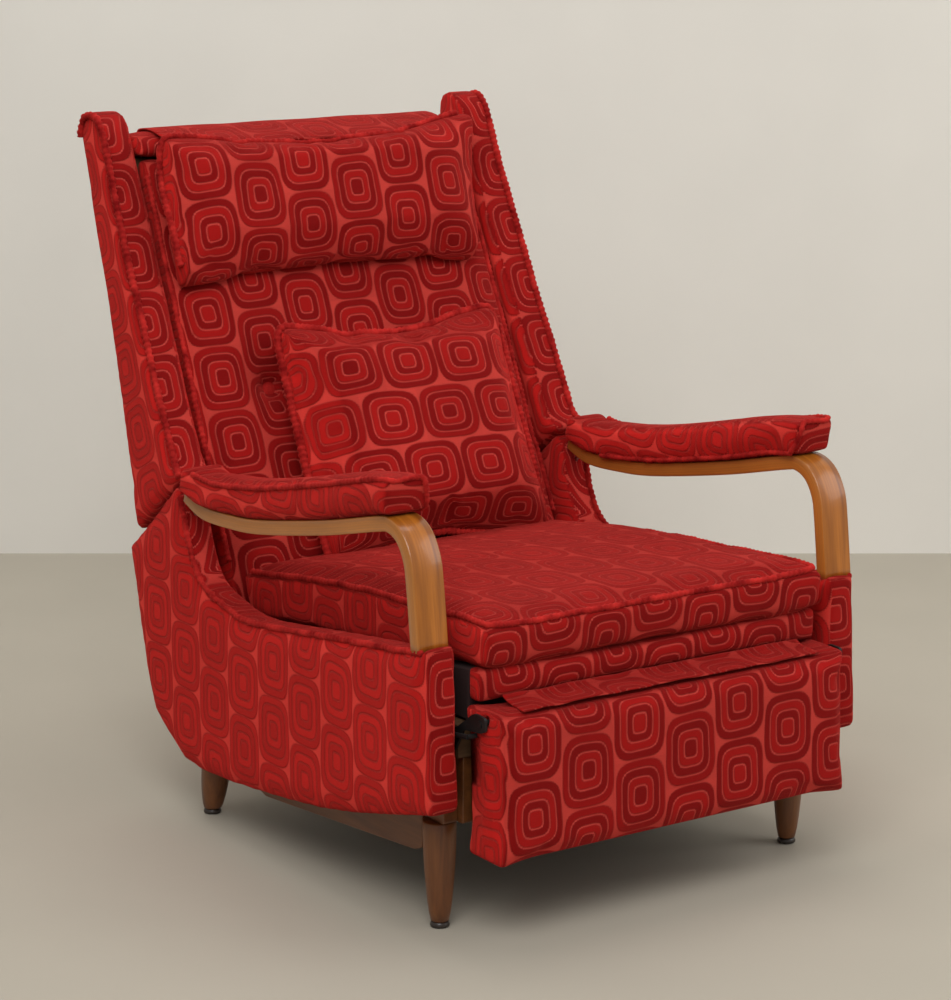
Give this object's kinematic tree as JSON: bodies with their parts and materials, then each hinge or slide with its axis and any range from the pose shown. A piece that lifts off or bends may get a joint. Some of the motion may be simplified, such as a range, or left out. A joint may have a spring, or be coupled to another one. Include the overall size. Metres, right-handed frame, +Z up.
{
  "type": "recliner armchair",
  "caption": "Upholstered recliner armchair with bentwood arms, winged back that reclines, swing-out footrest, headrest pillow and loose lumbar cushion.",
  "frame": {"origin": "on the floor, under the middle of the chair's overall box", "axes": "+Z up, the chair faces -Y, +X across the chair; all but the two loose pillows are symmetric about X = 0"},
  "size_m": [0.758, 1.0494, 1.021],
  "materials": {
    "velvet": "cut velvet upholstery in two reds",
    "lining": "platform cloth",
    "honey_wood": "lacquered laminated bentwood",
    "dark_wood": "stained and lacquered",
    "frame_wood": "plain frame timber",
    "steel": "plain mild steel",
    "webbing": "elastic webbing",
    "glide": "dark plastic"
  },
  "bodies": {
    "base": {"side_panel_left": "velvet", "side_panel_right": "velvet", "bent_arm_left": "honey_wood", "bent_arm_right": "honey_wood", "arm_pad_left": "velvet", "arm_pad_right": "velvet", "arm_post_bolt_left": "steel", "arm_post_bolt_right": "steel", "arm_rear_bolt_left": "steel", "arm_rear_bolt_right": "steel", "base_rail_left": "dark_wood", "base_rail_right": "dark_wood", "front_cross_rail": "dark_wood", "rear_cross_rail": "dark_wood", "rear_panel": "velvet", "front_leg_left": "dark_wood", "front_leg_right": "dark_wood", "rear_leg_left": "dark_wood", "rear_leg_right": "dark_wood", "front_glide_left": "glide", "front_glide_right": "glide", "rear_glide_left": "glide", "rear_glide_right": "glide", "seat_frame": "frame_wood", "seat_strap_1": "webbing", "seat_strap_2": "webbing", "seat_strap_3": "webbing", "seat_platform": "lining", "seat_front_border": "velvet", "seat_cushion": "velvet", "pivot_bracket_left": "steel", "pivot_bracket_right": "steel", "pivot_pin_left": "steel", "pivot_pin_right": "steel", "footrest_bracket_left": "steel", "footrest_bracket_right": "steel", "footrest_flap": "velvet"},
    "back": {"back_board": "frame_wood", "outer_back": "velvet", "top_rail": "velvet", "back_pad": "velvet", "back_button_left": "velvet", "back_button_right": "velvet", "wing_left": "velvet", "wing_right": "velvet", "back_arm_left": "steel", "back_arm_right": "steel", "headrest_flap": "velvet"},
    "push_rods": {"push_rod_left": "steel", "push_rod_right": "steel"},
    "footrest": {"footrest_panel": "velvet", "footrest_board": "frame_wood", "hinge_plate_left": "steel", "hinge_plate_right": "steel", "footrest_pin_left": "steel", "footrest_pin_right": "steel"},
    "headrest": {"headrest_pillow": "velvet"},
    "lumbar": {"lumbar_cushion": "velvet"}
  },
  "joints": [
    {"name": "back_recline", "type": "hinge", "parent": "base", "child": "back", "pos_m": [0, 0.26, 0.285], "axis": [-1, 0, 0], "range_deg": [0, 20]},
    {"name": "push_rod_swing", "type": "hinge", "parent": "back", "child": "push_rods", "pos_m": [0, 0.27858, 0.17963], "axis": [-1, 0, 0], "range_deg": [-20, 0]},
    {"name": "footrest_swing", "type": "hinge", "parent": "base", "child": "footrest", "pos_m": [0, -0.484, 0.306], "axis": [-1, 0, 0], "range_deg": [0, 85], "deforming": ["footrest_flap"]},
    {"name": "headrest_lift", "type": "hinge", "parent": "back", "child": "headrest", "pos_m": [0, 0.40987, 0.98264], "axis": [-1, 0, 0], "range_deg": [0, 60]},
    {"name": "lumbar_lift", "type": "slide", "parent": "back", "child": "lumbar", "axis": [0, -0.907, 0.421], "range_m": [0, 0.28]}
  ],
  "couplings": [
    {"joint": "push_rod_swing", "follows": "back_recline", "ratio": -1},
    {"joint": "footrest_swing", "follows": "back_recline", "ratio": 4.25}
  ]
}
